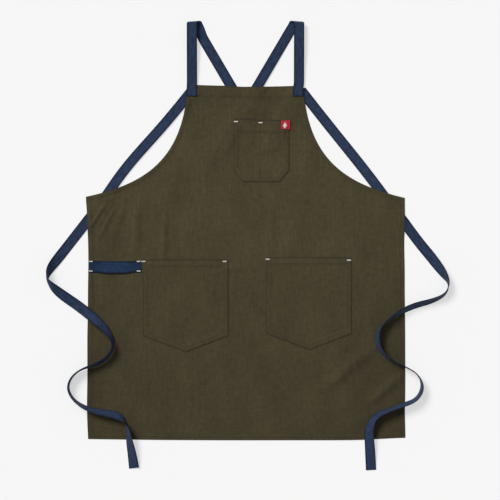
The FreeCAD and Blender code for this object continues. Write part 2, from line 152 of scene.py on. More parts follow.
def bump(t):
    """1 at zero, falling away on both sides like a soft crease."""
    return np.exp(-t * t)


def corner_trims(sides, depth):
    """How much shorter each side gets at its two ends when it moves in by depth."""
    ends = []
    for before, after in zip(sides[-1:] + sides[:-1], sides):
        a, b = before[-1] - before[-2], after[1] - after[0]
        turn = math.atan2(a[0] * b[1] - a[1] * b[0], a @ b)
        ends.append(depth * math.tan(turn / 2))
    return list(zip(ends, ends[1:] + ends[:1]))


def inset(side, depth, trims, count):
    """Points along a side moved inwards, without its last one, which starts the next side."""
    total = lengths(side)[-1]
    places = np.linspace(trims[0], total - trims[1], count + 1)[:-1]
    fine = np.linspace(0, total, 400)
    inwards = left_of(directions(along(side, fine)))
    return along(side, places) + between(places, fine, inwards) * depth


def inside(points, ring):
    """Which points lie inside a closed ring."""
    x, y = points.T
    hit = np.zeros(len(points), bool)
    for (ax, ay), (bx, by) in zip(ring, np.roll(ring, -1, 0)):
        if ay != by:
            over = (ay > y) != (by > y)
            hit ^= over & (x < (bx - ax) * (y - ay) / (by - ay) + ax)
    return hit


def distance(points, run):
    """How far each point is from a run of closely spaced points."""
    chunks = np.array_split(points, max(1, len(points) // 4000))
    return np.concatenate([np.sqrt(((chunk[:, None] - run[None]) ** 2).sum(2).min(1)) for chunk in chunks])


# Meshes: each shape is its points, its faces, and each point's place on the cloth as cut

SEAM_OFFSETS = (-0.0024, -0.0011, 0, 0.0011, 0.0024)    # rows of mesh points on and beside a seam
TOO_NEAR = 0.0009                                       # mesh points keep this far apart
ROW_STEP = 0.866                                        # between the rows of a lattice of triangles


def tube_faces(rings, size):
    """Quads between rings of points."""
    return [
        (k * size + i, k * size + (i + 1) % size, (k + 1) * size + (i + 1) % size, (k + 1) * size + i)
        for k in range(rings - 1)
        for i in range(size)
    ]


def closed_tube(rings, size):
    last = (rings - 1) * size
    return tube_faces(rings, size) + [tuple(range(size))[::-1], tuple(range(last, last + size))]


def lattice(low, high, step):
    xs, ys = np.arange(low[0], high[0], step), np.arange(low[1], high[1], step * ROW_STEP)
    rows = [np.stack([xs + (j % 2) * step / 2, np.full(len(xs), y)], 1) for j, y in enumerate(ys)]
    return np.concatenate(rows)


def seam_points(seams):
    """Rows of points that follow the seams, without the ones that come too near others."""
    rows = []
    for run in seams:
        fine = every(run, 0.003, start=0.001)
        rows += [fine + left_of(directions(fine)) * offset for offset in SEAM_OFFSETS]
    rows = np.concatenate(rows)
    kept = []
    for spot in rows:
        if not kept or np.abs(np.array(kept) - spot).sum(1).min() > TOO_NEAR:
            kept.append(spot)
    return rows, kept


def net(sides, depths, spacing, step, seams=()):
    """A flat mesh inside an outline of sides that run anticlockwise: rings of quads that follow the edge,
    then triangles, with rows of points that follow the seams. Gives its points, its faces and how many of
    its first points are the edge."""
    counts = [max(2, round(lengths(side)[-1] / spacing)) for side in sides]
    rings = []
    for depth in depths:
        trims = corner_trims(sides, depth)
        rings.append(np.concatenate([inset(s, depth, t, n) for s, t, n in zip(sides, trims, counts)]))
    size, inner = len(rings[0]), rings[-1]
    filling = lattice(inner.min(0), inner.max(0), step)
    if seams:
        rows, kept = seam_points(seams)
        filling = np.concatenate([filling[distance(filling, rows) > step * 0.55], kept])
    filling = filling[inside(filling, inner)]
    filling = filling[distance(filling, inner) > TOO_NEAR]
    flat = [Vector(p) for p in np.concatenate([inner, filling])]
    _, _, cells, origins, _, _ = delaunay_2d_cdt(flat, [], [list(range(size))], 1, 1e-7)
    first = (len(rings) - 1) * size
    number = [first + (ids[0] if ids else 0) for ids in origins]
    faces = tube_faces(len(rings), size) + [tuple(number[v] for v in cell) for cell in cells]
    return np.concatenate(rings + [filling]), faces, size


def join_up(shapes):
    """Several shapes as one."""
    faces, start = [], 0
    for points, some_faces, _ in shapes:
        faces += [tuple(v + start for v in face) for face in some_faces]
        start += len(points)
    return np.concatenate([s[0] for s in shapes]), faces, np.concatenate([s[2] for s in shapes])


def cloth_shell(spots, faces, rim, top, under):
    """A closed cloth between two heights, with a rounded edge."""
    n = len(spots)
    edge = spots[:rim]
    outwards = -left_of(unit(edge - np.roll(edge, 1, 0) + np.roll(edge, -1, 0) - edge))
    belly = edge + outwards * ((top - under)[:rim, None] * 0.45)
    middle = (top + under)[:rim] / 2
    points = np.concatenate([np.c_[spots, top], np.c_[spots, under], np.c_[belly, middle]])
    closed = list(faces) + [tuple(v + n for v in reversed(face)) for face in faces]
    for i in range(rim):
        j = (i + 1) % rim
        closed.append((i, 2 * n + i, 2 * n + j, j))
        closed.append((2 * n + i, n + i, n + j, 2 * n + j))
    return points, closed, np.c_[np.concatenate([spots, spots, edge]), np.zeros(len(points))]


def shell_tone(tone, rim):
    """The tone of a shell's top, underside and edge, from that of its net."""
    return np.r_[tone, tone, tone[:rim]]


SECTION_ACROSS = np.array([-1, -0.985, -0.93, -0.8, -0.4, 0, 0.4, 0.8, 0.93, 0.985, 1])
SECTION_HALF = np.array([0.3, 0.72, 1.0, 0.98, 0.9, 0.88, 0.9, 0.98, 1.0, 0.72, 0.3])


def webbing(middles, widths, normals, thick=WEB, cup=0.0):
    """A webbing through middles: widths are half-width vectors and normals unit ones. Its middle stands out
    by the cup along its normal."""
    thick, cup = (np.broadcast_to(np.asarray(value, float), (len(middles),)) for value in (thick, cup))
    across = np.r_[SECTION_ACROSS, SECTION_ACROSS[::-1]]
    half = np.r_[SECTION_HALF, -SECTION_HALF[::-1]]
    out = half[None, :] * thick[:, None] / 2 + (0.5 - across[None, :] ** 2) * cup[:, None]
    points = middles[:, None] + widths[:, None] * across[None, :, None] + normals[:, None] * out[..., None]
    flat = np.zeros((len(middles), len(across), 3))
    flat[..., 0] = across * WEB_WIDTH / 2
    flat[..., 1] = lengths(middles)[:, None]
    return points.reshape(-1, 3), closed_tube(len(middles), len(across)), flat.reshape(-1, 3)


def section_tone(shape, tone):
    """Each section's tone for all its points."""
    return np.repeat(tone, len(shape[0]) // len(tone))


def upward_normals(middles, widths):
    normals = np.cross(directions(middles), widths)
    return unit(normals) * np.sign(normals[:, 2:])


# A stitch: sections along it, as place, girth and lift, and the points round each, as place and height
STITCH_SHAPE = [
    (-0.5, 0.25, -0.35), (-0.36, 0.8, 0.45), (0, 1.0, 0.75), (0.36, 0.8, 0.45), (0.5, 0.25, -0.35),
]
STITCH_ROUND = [(-1.0, 0.0), (-0.7, 0.7), (0.0, 1.0), (0.7, 0.7), (1.0, 0.0), (0.0, -0.6)]
SATIN_PITCH = 0.00062   # from thread to thread in a block of them


def stitches(starts, ways, length, width, height):
    """Threads that each lie round a point in the plane, on the cloth, and dip into it at their ends."""
    local = np.array([
        (at * length, side * girth * width / 2, (lift + up * 0.5 * girth) * width)
        for at, girth, lift in STITCH_SHAPE
        for side, up in STITCH_ROUND
    ])
    one = closed_tube(len(STITCH_SHAPE), len(STITCH_ROUND))
    plane = (starts[:, None] + ways[:, None] * local[None, :, :1]
             + left_of(ways)[:, None] * local[None, :, 1:2]).reshape(-1, 2)
    points = np.c_[plane, height(plane) + np.tile(local[:, 2], len(starts))]
    faces = [tuple(v + i * len(local) for v in face) for i in range(len(starts)) for face in one]
    return points, faces, np.tile(local, (len(starts), 1))


def stitch_row(run, height, pitch=0.0033, length=0.0027, width=THREAD):
    total = lengths(run)[-1]
    count = max(2, int(total / pitch))
    places = (np.arange(count) + 0.5) * total / count
    fine = np.linspace(0, total, 8 * count)
    ways = between(places, fine, directions(along(run, fine)))
    return stitches(along(run, places), ways, length, width, height)


def satin(centre, size, height):
    """A block of close zigzag threads: a bar tack, with its threads across its length."""
    length, reach = size
    count = max(3, round(length / SATIN_PITCH))
    run = (np.arange(count) - (count - 1) / 2) * length / count
    slant = math.pi / 2 + np.array([1, -1] * count)[:count] * 0.18
    ways = np.stack([np.cos(slant), np.sin(slant)], 1)
    starts = np.array(centre)[None] + np.c_[run, np.zeros(count)]
    return stitches(starts, ways, reach, 0.00085, lambda spots: height(spots) + 0.00035)


def put(name, data):
    """A new object in the scene."""
    thing = bpy.data.objects.new(name, data)
    bpy.context.scene.collection.objects.link(thing)
    return thing


def add_piece(name, shape, look, *nodes, tone=None):
    """A Blender piece that stands for those CAD nodes. Its "flat" attribute is each point's place on the
    cloth as cut, and "tone" how light it is."""
    points, faces, flat = shape
    mesh = bpy.data.meshes.new(name)
    mesh.from_pydata([tuple(p) for p in points], [], faces)
    mesh.materials.append(look.material)
    tone = np.ones(len(points)) if tone is None else tone
    place_data = mesh.attributes.new("flat", "FLOAT_VECTOR", "POINT").data
    place_data.foreach_set("vector", np.asarray(flat, np.float32).ravel())
    tone_data = mesh.attributes.new("tone", "FLOAT", "POINT").data
    tone_data.foreach_set("value", np.asarray(tone, np.float32))
    solid = bmesh.new()
    solid.from_mesh(mesh)
    bmesh.ops.recalc_face_normals(solid, faces=solid.faces)
    solid.to_mesh(mesh)
    solid.free()
    mesh.shade_smooth()
    piece = put(name, mesh)
    if nodes:
        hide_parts(*nodes)
    return piece


# Straps: where they lie

STRAP_X = 0.132
STRAP_SEWN_Y = 0.331
LOW_LAYER, HIGH_LAYER, TAIL_LAYER = 0.0008, 0.0024, 0.00175
ROLL = (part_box("left_shoulder_strap")[1].z - LOW_LAYER - WEB / 2) / 2      # the radius of its bend at the top
ROLL_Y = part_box("left_shoulder_strap")[1].y - ROLL - WEB / 2
# For the left and right shoulder straps, which end up on the opposite side
ROLL_LEAN = {-1: 0.0063, 1: 0.0119}
ROLL_SHIFT = 0.0125
UNDER_FOLD = {-1: (0.0565, 0.199), 1: (-0.0624, 0.199)}
# For the left and right side of the apron
CORNER_FOLD = {-1: (-0.1285, 0.350), 1: (0.1343, 0.350)}
PIVOT = {-1: (-0.3915, 0.0225), 1: (0.3915, 0.0205)}
DIAGONAL_BOW = {-1: 0.0071, 1: 0.0020}
# Along the strap
ROLL_END, LAYER_END = 0.045, 0.130      # from the roll: where its twist ends, and where it reaches its layer
FOLD_REACH = 0.010                      # how far a flat fold reaches into the runs beside it
KEEPER_FROM_PIVOT = 0.0455
JOINT_FROM_PIVOT = 0.0254               # where the strap's tail meets the tie, out of sight
UNDER_WING, TIE_BEND = 0.055, 0.055     # the lengths of tie that the wing lies on, and that bend with it


def flat_run(a, b, z_a, z_b, face, step=0.004):
    """Sections of webbing that lies flat between two points."""
    a, b = np.array(a, float), np.array(b, float)
    share = np.linspace(0, 1, max(2, round(np.linalg.norm(b - a) / step)))
    middles = np.c_[a[None] + (b - a)[None] * share[:, None], z_a + (z_b - z_a) * smooth(share)]
    side = np.r_[left_of(way_to(a, b)), 0] * WEB_WIDTH / 2 * face
    return [(middle, side, np.array([0, 0, face])) for middle in middles]


def fold_run(place, z_a, z_b, way, next_way, face, steps=8):
    """Sections round a flat fold, from one layer to another, along its crease."""
    crease = unit(way + next_way)
    if crease @ left_of(way) * face < 0:
        crease = -crease
    length = WEB_WIDTH / 2 / abs(crease @ left_of(way))
    out = np.r_[unit(way - crease * (way @ crease)), 0]
    rise = 1 if z_b > z_a else -1
    middle, radius = np.r_[place, (z_a + z_b) / 2], abs(z_b - z_a) / 2
    sections = []
    for turn in np.linspace(0, math.pi, steps + 1):
        spoke = out * math.sin(turn) - np.array([0, 0, math.cos(turn) * rise])
        sections.append((middle + spoke * radius, np.r_[crease * length, 0], spoke * -rise * face))
    return sections


def back_of_strap(side, own_layer, other_layer):
    """The part of a strap that lies behind the apron, from its roll at the top to its pivot at the wing."""
    roll = np.array([side * (STRAP_X - ROLL_LEAN[side]), ROLL_Y])
    under, corner, pivot = (np.array(p) for p in (UNDER_FOLD[side], CORNER_FOLD[-side], PIVOT[-side]))
    down, up_again, out = way_to(roll, under), way_to(under, corner), way_to(corner, pivot)
    settled = roll + down * LAYER_END
    sections = flat_run(roll + down * ROLL_END, settled, LOW_LAYER, own_layer, -1)
    sections += flat_run(settled, under - down * FOLD_REACH, own_layer, own_layer, -1)[1:]
    sections += fold_run(under, own_layer, other_layer, down, up_again, -1)
    after_fold, before_corner = under + up_again * FOLD_REACH, corner - up_again * FOLD_REACH
    sections += flat_run(after_fold, before_corner, other_layer, other_layer, 1)
    sections += fold_run(corner, other_layer, own_layer, up_again, out, 1)
    end = pivot - out * (JOINT_FROM_PIVOT + 0.0004)
    tail = flat_run(corner + out * FOLD_REACH, end, own_layer, TAIL_LAYER, -1)
    outwards = np.array([-side * abs(out[1]), abs(out[0]), 0])
    for i, (middle, width, normal) in enumerate(tail):
        bow = DIAGONAL_BOW[-side] * math.sin(math.pi * (i / (len(tail) - 1)) ** 1.5) ** 2
        sections.append((middle + outwards * bow, width, normal))
    return sections, down


def tie_start(side):
    """The stretch of a tie that lies under the wing."""
    way = way_to(CORNER_FOLD[side], PIVOT[side])
    start = np.array(PIVOT[side]) - way * JOINT_FROM_PIVOT
    return flat_run(start, start + way * UNDER_WING, TAIL_LAYER, TAIL_LAYER, 1)


# The cloth's height: it lies on the straps, over its own hems, with soft wrinkles

GRID = 0.002
GRID_LOW = np.array([-0.43, -0.56])
GRID_SHAPE = (480, 430)
DRAPE_SAG = 0.000013
DRAPE_ROUNDS = 420
INSIDE_REACH = 0.060    # from the edges to where the cloth swells freely


def neighbours(grid):
    return np.roll(grid, 1, 0) + np.roll(grid, -1, 0) + np.roll(grid, 1, 1) + np.roll(grid, -1, 1)


def strap_heights(strips):
    """A grid of the tops of the straps that lie under the cloth."""
    grid = np.zeros(GRID_SHAPE)
    for sections in strips:
        middles, widths, normals = (np.array(column, float) for column in zip(*sections))
        for u in np.linspace(-1, 1, 29):
            dense = every(middles + widths * u + np.abs(normals) * WEB / 2, GRID / 2)
            cell = np.round((dense[:, :2] - GRID_LOW) / GRID).astype(int)
            kept = (cell >= 0).all(1) & (cell[:, 0] < GRID_SHAPE[1]) & (cell[:, 1] < GRID_SHAPE[0])
            np.maximum.at(grid, (cell[kept, 1], cell[kept, 0]), dense[kept, 2])
    return grid


def drape(obstacle):
    """Lets a limp sheet settle on obstacles under its own weight."""
    height = obstacle.copy()
    for _ in range(DRAPE_ROUNDS):
        height = np.maximum(obstacle, neighbours(height) / 4 - DRAPE_SAG)
    for _ in range(3):
        height = (height * 2 + neighbours(height)) / 6
    return height


def sample(grid, spots):
    place = (spots - GRID_LOW) / GRID
    cell = np.clip(np.floor(place).astype(int), 0, np.array(GRID_SHAPE[::-1]) - 2)
    fx, fy = np.clip(place - cell, 0, 1).T
    i, j = cell.T
    low = grid[j, i] * (1 - fx) + grid[j, i + 1] * fx
    high = grid[j + 1, i] * (1 - fx) + grid[j + 1, i + 1] * fx
    return low * (1 - fy) + high * fy


# Soft creases: from x, y to x, y, width and height, in metres
CREASES = [
    (-0.346, 0.064, -0.381, 0.010, 0.0035, 0.0030),
    (-0.328, 0.066, -0.366, 0.008, 0.0030, 0.0016),
    (-0.320, 0.058, -0.362, -0.016, 0.0042, 0.0026),
    (-0.300, 0.060, -0.335, -0.040, 0.0090, 0.0024),
    (0.340, 0.070, 0.376, 0.016, 0.0060, 0.0014),
    (0.318, 0.060, 0.356, -0.006, 0.0100, 0.0012),
    (-0.198, 0.040, -0.203, -0.066, 0.0075, 0.0036),
    (-0.264, 0.060, -0.276, -0.062, 0.0120, 0.0042),
    (-0.150, -0.010, -0.142, -0.064, 0.0120, 0.0014),
    (0.068, 0.060, 0.062, -0.062, 0.0110, 0.0016),
    (0.012, 0.020, 0.004, -0.200, 0.0180, 0.0014),
    (-0.010, -0.090, -0.080, -0.104, 0.0060, 0.0014),
    (0.330, -0.110, 0.300, -0.280, 0.0300, 0.0022),
    (0.199, -0.386, 0.306, -0.296, 0.0150, 0.0052),
    (0.306, -0.424, 0.384, -0.360, 0.0110, 0.0044),
    (0.240, -0.500, 0.330, -0.440, 0.0180, 0.0018),
    (-0.200, -0.330, -0.210, -0.500, 0.0260, 0.0018),
    (-0.330, -0.140, -0.300, -0.240, 0.0200, 0.0018),
    (-0.050, 0.230, -0.110, 0.300, 0.0120, 0.0026),
    (-0.105, 0.060, -0.090, 0.220, 0.0180, 0.0016),
    (0.005, 0.310, 0.050, 0.290, 0.0090, 0.0022),
    (0.130, 0.060, 0.150, 0.180, 0.0180, 0.0012),
    (-0.002, 0.300, 0.020, 0.274, 0.0060, 0.0022),
]


def creases(x, y):
    rise = np.zeros(len(x))
    for ax, ay, bx, by, width, height in CREASES:
        way = way_to((ax, ay), (bx, by))
        length = math.hypot(bx - ax, by - ay)
        run = (x - ax) * way[0] + (y - ay) * way[1]
        off = (x - ax) * -way[1] + (y - ay) * way[0]
        wander = 0.15 * width * np.sin(run * 60)
        ends = smooth(0.5 + run / (length * 0.5)) * smooth(0.5 + (length - run) / (length * 0.5))
        rise += height * bump((off + wander) / width) * ends
    return rise


def swell(x, y):
    """A slow uneven swell that runs mostly down the cloth."""
    draw = np.random.default_rng(7)
    rise = np.full(len(x), 0.0008)
    for _ in range(14):
        across, down = draw.uniform(25, 85), draw.uniform(-16, 16)
        phase, bend = draw.uniform(0, 6.28), draw.uniform(0, 6.28)
        rise += 0.013 / across * np.sin(across * x + down * y + phase + 0.8 * np.sin(5 * y + bend))
    return np.maximum(rise, 0)


def edge_between(corner, wing, y):
    return corner[0] + (wing[0] - corner[0]) * (y - corner[1]) / (wing[1] - corner[1])


def side_ends(y):
    """1 along a side edge, 0 at its corners."""
    return smooth((y - LEFT_CORNER[1]) / 0.03) * smooth((RIGHT_WING[1] - y) / 0.03)


def left_edge(y):
    """Pulled in beside the towel loop."""
    wander = (0.0047 * bump((y + 0.06) / 0.115) + 0.0012 * bump((y + 0.20) / 0.05)
              - 0.0019 * bump((y + 0.44) / 0.06))
    return edge_between(LEFT_CORNER, LEFT_WING, y) + wander * side_ends(y)


def right_edge(y):
    wander = (0.0017 * bump((y + 0.036) / 0.05) + 0.0008 * bump((y + 0.147) / 0.06)
              + 0.0010 * bump((y + 0.45) / 0.04))
    return edge_between(RIGHT_CORNER, RIGHT_WING, y) - wander * side_ends(y)


def top_edge(x):
    step = TOP_EDGE_STEP * smooth((-0.005 - x) / 0.055)
    return BIB_TOP + 0.0007 + step - TOP_EDGE_SAG * (1 - (x / BIB_HALF) ** 2)


def bottom_edge(x):
    """Lifts a little at the right corner."""
    middle, half = (LEFT_CORNER[0] + RIGHT_CORNER[0]) / 2, (RIGHT_CORNER[0] - LEFT_CORNER[0]) / 2
    lift = (RIGHT_CORNER[1] - LEFT_CORNER[1]) * smooth((x - 0.28) / 0.11)
    bow = HEM_BOW * (1 - ((x - middle) / half) ** 2)
    return LEFT_CORNER[1] + lift - bow - 0.0008 * bump((x - 0.24) / 0.09)


def panel_sides():
    """The apron's outline, anticlockwise from the lower left corner."""
    bottom = np.linspace(LEFT_CORNER[0], RIGHT_CORNER[0], 160)
    right = np.linspace(RIGHT_CORNER[1], RIGHT_WING[1], 160)
    left = np.linspace(LEFT_WING[1], LEFT_CORNER[1], 160)
    top = np.linspace(BIB_HALF, -BIB_HALF, 80)
    top = np.c_[top, top_edge(top)]
    near, far = ARMHOLE_HANDLES
    return {
        "bottom": np.c_[bottom, bottom_edge(bottom)],
        "right": np.c_[right_edge(right), right],
        "right_arm": bezier([RIGHT_WING, far, near, top[0]], 240),
        "top": top,
        "left_arm": bezier([top[-1], (-near[0], near[1]), (-far[0], far[1]), LEFT_WING], 240),
        "left": np.c_[left_edge(left), left],
    }


SIDES = panel_sides()
OUTLINE = np.concatenate([side[:-1] for side in SIDES.values()])
DENSE_ARMS = {arm: every(SIDES[arm], 0.0012) for arm in ("right_arm", "left_arm")}


def hem_depths(spots):
    """How far in from each edge of the panel the points are."""
    x, y = spots.T
    skirt = y < LEFT_WING[1] + 0.02
    return {
        "bottom": y - bottom_edge(x),
        "right": np.where(skirt, right_edge(y) - x, 1),
        "left": np.where(skirt, x - left_edge(y), 1),
        "top": top_edge(x) - y,
        **{arm: distance(spots, run) for arm, run in DENSE_ARMS.items()},
    }


def hem_rise(spots):
    """How much the hems' turned layers lift the cloth, with a dimple along each row of stitches."""
    rise, dimple = np.zeros(len(spots)), np.zeros(len(spots))
    for name, depth in hem_depths(spots).items():
        past = depth - HEM_WIDTH[name]
        rise = np.maximum(rise, CLOTH * (1 - smooth(past / HEM_STEP)))
        dimple = np.maximum(dimple, DIMPLE * bump((past + SEAM_IN) / 0.0011))
    return rise - dimple


EDGE_SHADE, GROOVE_SHADE, MOUTH_SHADOW = 0.24, 0.17, 0.6  # painted shade: how much darker the edges and stitch grooves are painted, and painted shadow under pocket mouths


def painted_falloff(spots):
    """Painted shade: the canvas is painted a little darker away from the belly and the middle of the bib, for
    light that falls off there.
    """
    x, y = spots.T
    dark = 0.10 * smooth((y - 0.23) / 0.09) + 0.06 * smooth((np.abs(x) - 0.24) / 0.10)
    dark += 0.08 * smooth((-0.02 - y) / 0.14) + 0.06 * smooth((-0.20 - y) / 0.18)
    return 1 - dark - 0.05 * smooth((x - 0.15) / 0.20) * smooth((-0.20 - y) / 0.15)


def panel_tone(spots):
    # Painted shade along the edges and in the grooves of the hem stitching, times the painted falloff of light
    dark = np.zeros(len(spots))
    for name, depth in hem_depths(spots).items():
        dark = np.maximum(dark, EDGE_SHADE * bump(depth / 0.0022))
        dark = np.maximum(dark, GROOVE_SHADE * bump((depth - HEM_WIDTH[name] + SEAM_IN) / 0.0012))
    return painted_falloff(spots) * (1 - dark)


def well_inside():
    """A grid that is 0 at the cloth's edges and 1 well inside them."""
    x, y = (low + GRID * np.arange(count) for low, count in zip(GRID_LOW, GRID_SHAPE[::-1]))
    spots = np.stack(np.meshgrid(x, y), -1).reshape(-1, 2)
    nearest = np.min(list(hem_depths(spots).values()), 0)
    return smooth(nearest / INSIDE_REACH).reshape(GRID_SHAPE)


WELL_INSIDE = well_inside()
left_back, left_down = back_of_strap(-1, LOW_LAYER, HIGH_LAYER)
right_back, right_down = back_of_strap(1, HIGH_LAYER, LOW_LAYER)
DRAPED = drape(strap_heights([left_back, right_back, tie_start(-1), tie_start(1)]))


def panel_top(spots):
    """The height of the cloth's upper face."""
    wrinkles = creases(*spots.T) + swell(*spots.T) * sample(WELL_INSIDE, spots)
    return sample(DRAPED, spots) + wrinkles + hem_rise(spots) + CLOTH


# Materials

def new_material(name, settings):
    """A material and its shader, with those of the shader's inputs set."""
    material = bpy.data.materials.new(name)
    material.use_nodes = True
    shader = material.node_tree.nodes["Principled BSDF"]
    for key, value in settings.items():
        shader.inputs[key].default_value = value
    return material, shader


class Look:
    """A material in the making, with the place on the cloth as it was cut, so that the weave stays put when
    the cloth moves."""

    def __init__(self, name, slot, roughness, sheen, specular=0.3):
        self.material, self.shader = new_material(name, {
            "Roughness": roughness, "Sheen Weight": sheen, "Sheen Roughness": 0.5,
            "Specular IOR Level": specular,
        })
        self.tree = self.material.node_tree
        self.slot = slot
        self.place = self.node("ShaderNodeAttribute", [("attribute_name", "flat")]).outputs["Vector"]
        split = self.node("ShaderNodeSeparateXYZ", Vector=self.place)
        self.x, self.y = split.outputs[0], split.outputs[1]

    def node(self, kind, settings=(), **inputs):
        node = self.tree.nodes.new(kind)
        for key, value in settings:
            setattr(node, key, value)
        for key, value in inputs.items():
            socket = node.inputs[int(key[1:])] if key[1:].isdigit() else node.inputs[key]
            if isinstance(value, bpy.types.NodeSocket):
                self.tree.links.new(value, socket)
            else:
                socket.default_value = value
        return node

    def calc(self, operation, a, b=0.0, c=0.0):
        return self.node("ShaderNodeMath", [("operation", operation)], i0=a, i1=b, i2=c).outputs[0]

    def wave(self, run, length):
        """A sine of that wavelength."""
        return self.calc("SINE", self.calc("MULTIPLY", run, 2 * math.pi / length))

    def noise(self, scale, detail=2.0, roughness=0.5):
        place = self.node("ShaderNodeVectorMath", [("operation", "MULTIPLY")], i0=self.place, i1=scale)
        return self.node("ShaderNodeTexNoise", Vector=place.outputs[0], Scale=1.0, Detail=detail,
                         Roughness=roughness).outputs[0]

    def vary(self, tone, pattern, amount):
        """The tone, made lighter and darker by a pattern between 0 and 1."""
        return self.calc("MULTIPLY_ADD", self.calc("SUBTRACT", pattern, 0.5), amount, tone)

    def with_piece_tone(self, tone):
        """The tone, times that of each place on the piece, which carries the painted shade."""
        piece_tone = self.node("ShaderNodeAttribute", [("attribute_name", "tone")]).outputs["Fac"]
        return self.calc("MULTIPLY", tone, piece_tone)

    def finish(self, colour, tone, relief, strength, depth):
        """The colour, lighter or darker by the tone, and the relief as bump."""
        bumped = self.node("ShaderNodeBump", Height=relief, Strength=strength, Distance=depth)
        self.tree.links.new(bumped.outputs[0], self.shader.inputs["Normal"])
        shaded = self.node("ShaderNodeVectorMath", [("operation", "SCALE")], i0=colour, i3=tone)
        self.tree.links.new(shaded.outputs[0], self.shader.inputs["Base Color"])
        return self


# Repeats of the weaves and of the thread's twist, in metres, and one leg of the twill's zigzag
YARN, RIB, TWILL, ZIGZAG, PLY, SATIN = 0.0011, 0.0016, 0.0014, 0.0032, 0.0006, 0.0005


def canvas_look(name, colour):
    """Plain-woven cotton duck: round yarns over and under each other, with slubs and faint fading."""
    look = Look(name, "canvas", roughness=0.88, sheen=0.12)
    crossing = look.calc("MULTIPLY", look.wave(look.x, YARN), look.wave(look.y, YARN))
    weave = look.calc("MULTIPLY_ADD", crossing, 0.5, 0.5)
    slubs = look.calc("ADD", look.noise((520, 34, 1), 2.0, 0.6), look.noise((34, 520, 1), 2.0, 0.6))
    tone = look.calc("MULTIPLY_ADD", slubs, 0.42, 0.58)
    for scale, detail, roughness, amount in (
        ((210, 16, 1), 2.0, 0.6, 0.34),     # uneven yarns down the cloth
        ((18, 260, 1), 2.0, 0.6, 0.16),     # and across it
        ((110, 76, 1), 4.0, 0.65, 0.75),    # blotches
        ((16, 9, 1), 3.0, 0.55, 0.55),      # fading
        ((700, 700, 1), 2.0, 0.7, 0.20),    # flecks
    ):
        tone = look.vary(tone, look.noise(scale, detail, roughness), amount)
    relief = look.calc("ADD", weave, look.calc("MULTIPLY", slubs, 0.9))
    return look.finish(colour, look.with_piece_tone(look.vary(tone, weave, 0.18)), relief, 0.55, 0.0003)


def webbing_look(name, colour):
    """Cotton webbing: a fine broken twill of ribs, with painted shade darkening it towards its edges."""
    look = Look(name, "webbing", roughness=0.78, sheen=0.05, specular=0.2)
    twill = look.wave(look.calc("ADD", look.y, look.calc("PINGPONG", look.x, ZIGZAG)), TWILL)
    weave = look.calc("MULTIPLY_ADD", look.calc("ADD", look.wave(look.x, RIB), twill), 0.25, 0.5)
    off_middle = look.calc("MULTIPLY", look.calc("ABSOLUTE", look.x), 2 / WEB_WIDTH)
    # Painted shade that darkens the webbing towards its edges
    rim_shade = look.node("ShaderNodeMapRange", [("interpolation_type", "SMOOTHSTEP")],
                         Value=off_middle, i1=0.60, i2=0.92, i3=0.0, i4=1.0).outputs[0]
    tone = look.calc("MULTIPLY_ADD", weave, 0.26, 0.87)
    tone = look.vary(tone, look.noise((260, 22, 1), 3.0, 0.6), 0.80)
    tone = look.vary(tone, look.noise((140, 62, 1), 3.0, 0.6), 1.60)
    tone = look.calc("MULTIPLY", tone, look.calc("MULTIPLY_ADD", rim_shade, -0.62, 1.08))
    return look.finish(colour, look.with_piece_tone(tone), weave, 0.5, 0.00035)


def thread_look(name, colour, roughness=0.55):
    """Twisted sewing thread: a fine slanting ply along each stitch."""
    look = Look(name, name, roughness, sheen=0.1)
    ply = look.wave(look.calc("MULTIPLY_ADD", look.y, 1.4, look.x), PLY)
    return look.finish(colour, look.calc("MULTIPLY_ADD", ply, 0.05, 0.95), ply, 0.4, 0.00008)


def label_look(name, colour):
    """Fine satin-woven label tape."""
    look = Look(name, name, roughness=0.5, sheen=0.1, specular=0.4)
    satin_weave = look.wave(look.calc("MULTIPLY_ADD", look.x, 0.5, look.y), SATIN)
    tone = look.calc("MULTIPLY_ADD", look.noise((300, 900, 1)), 0.3, 0.85)
    return look.finish(colour, tone, satin_weave, 0.3, 0.0001)


CANVAS = canvas_look("olive_canvas", (0.085, 0.068, 0.0315))
WEBBING = webbing_look("navy_webbing", (0.0252, 0.0441, 0.0960))
LOOP_WEBBING = webbing_look("navy_loop_webbing", (0.0140, 0.0368, 0.0880))
OLIVE_THREAD = thread_look("olive_thread", (0.070, 0.058, 0.028))
NAVY_THREAD = thread_look("navy_thread", (0.021, 0.038, 0.084))
CREAM_THREAD = thread_look("cream_thread", (1.0, 0.955, 0.84), roughness=0.45)
LABEL_RED = label_look("red_label", (0.62, 0.018, 0.045))


# The panel and its hems

def stretch(side, from_share, to_share, count):
    """Points along part of an edge of the panel, and the way inwards at each."""
    total = lengths(SIDES[side])[-1]
    points = along(SIDES[side], np.linspace(total * from_share, total * to_share, count))
    return points, left_of(directions(points))


def seam(side, from_share, to_share):
    """The line of stitches that holds the hem of one edge."""
    points, inwards = stretch(side, from_share, to_share, 300)
    return points + inwards * (HEM_WIDTH[side] - SEAM_IN)


def panel():
    spots, faces, rim = net(list(SIDES.values()), PANEL_RINGS, *PANEL_MESH, [seam("top", 0.02, 0.98)])
    top = panel_top(spots)
    shape = cloth_shell(spots, faces, rim, top, top - CLOTH)
    tone = shell_tone(panel_tone(spots), rim)
    return add_piece("canvas_panel", shape, CANVAS, "skirt_panel", "bib_panel", tone=tone)


def strip(side, from_share, to_share):
    """The sides of a hem's turned layers, just inside one edge of the panel."""
    count = max(20, round(lengths(SIDES[side])[-1] / 0.004))
    edge, inwards = stretch(side, from_share, to_share, count)
    outer = edge + inwards * HEM_BACK
    inner = outer + inwards * (HEM_WIDTH[side] - HEM_BACK)
    return [outer, line(outer[-1], inner[-1]), inner[::-1], line(inner[0], outer[0])]


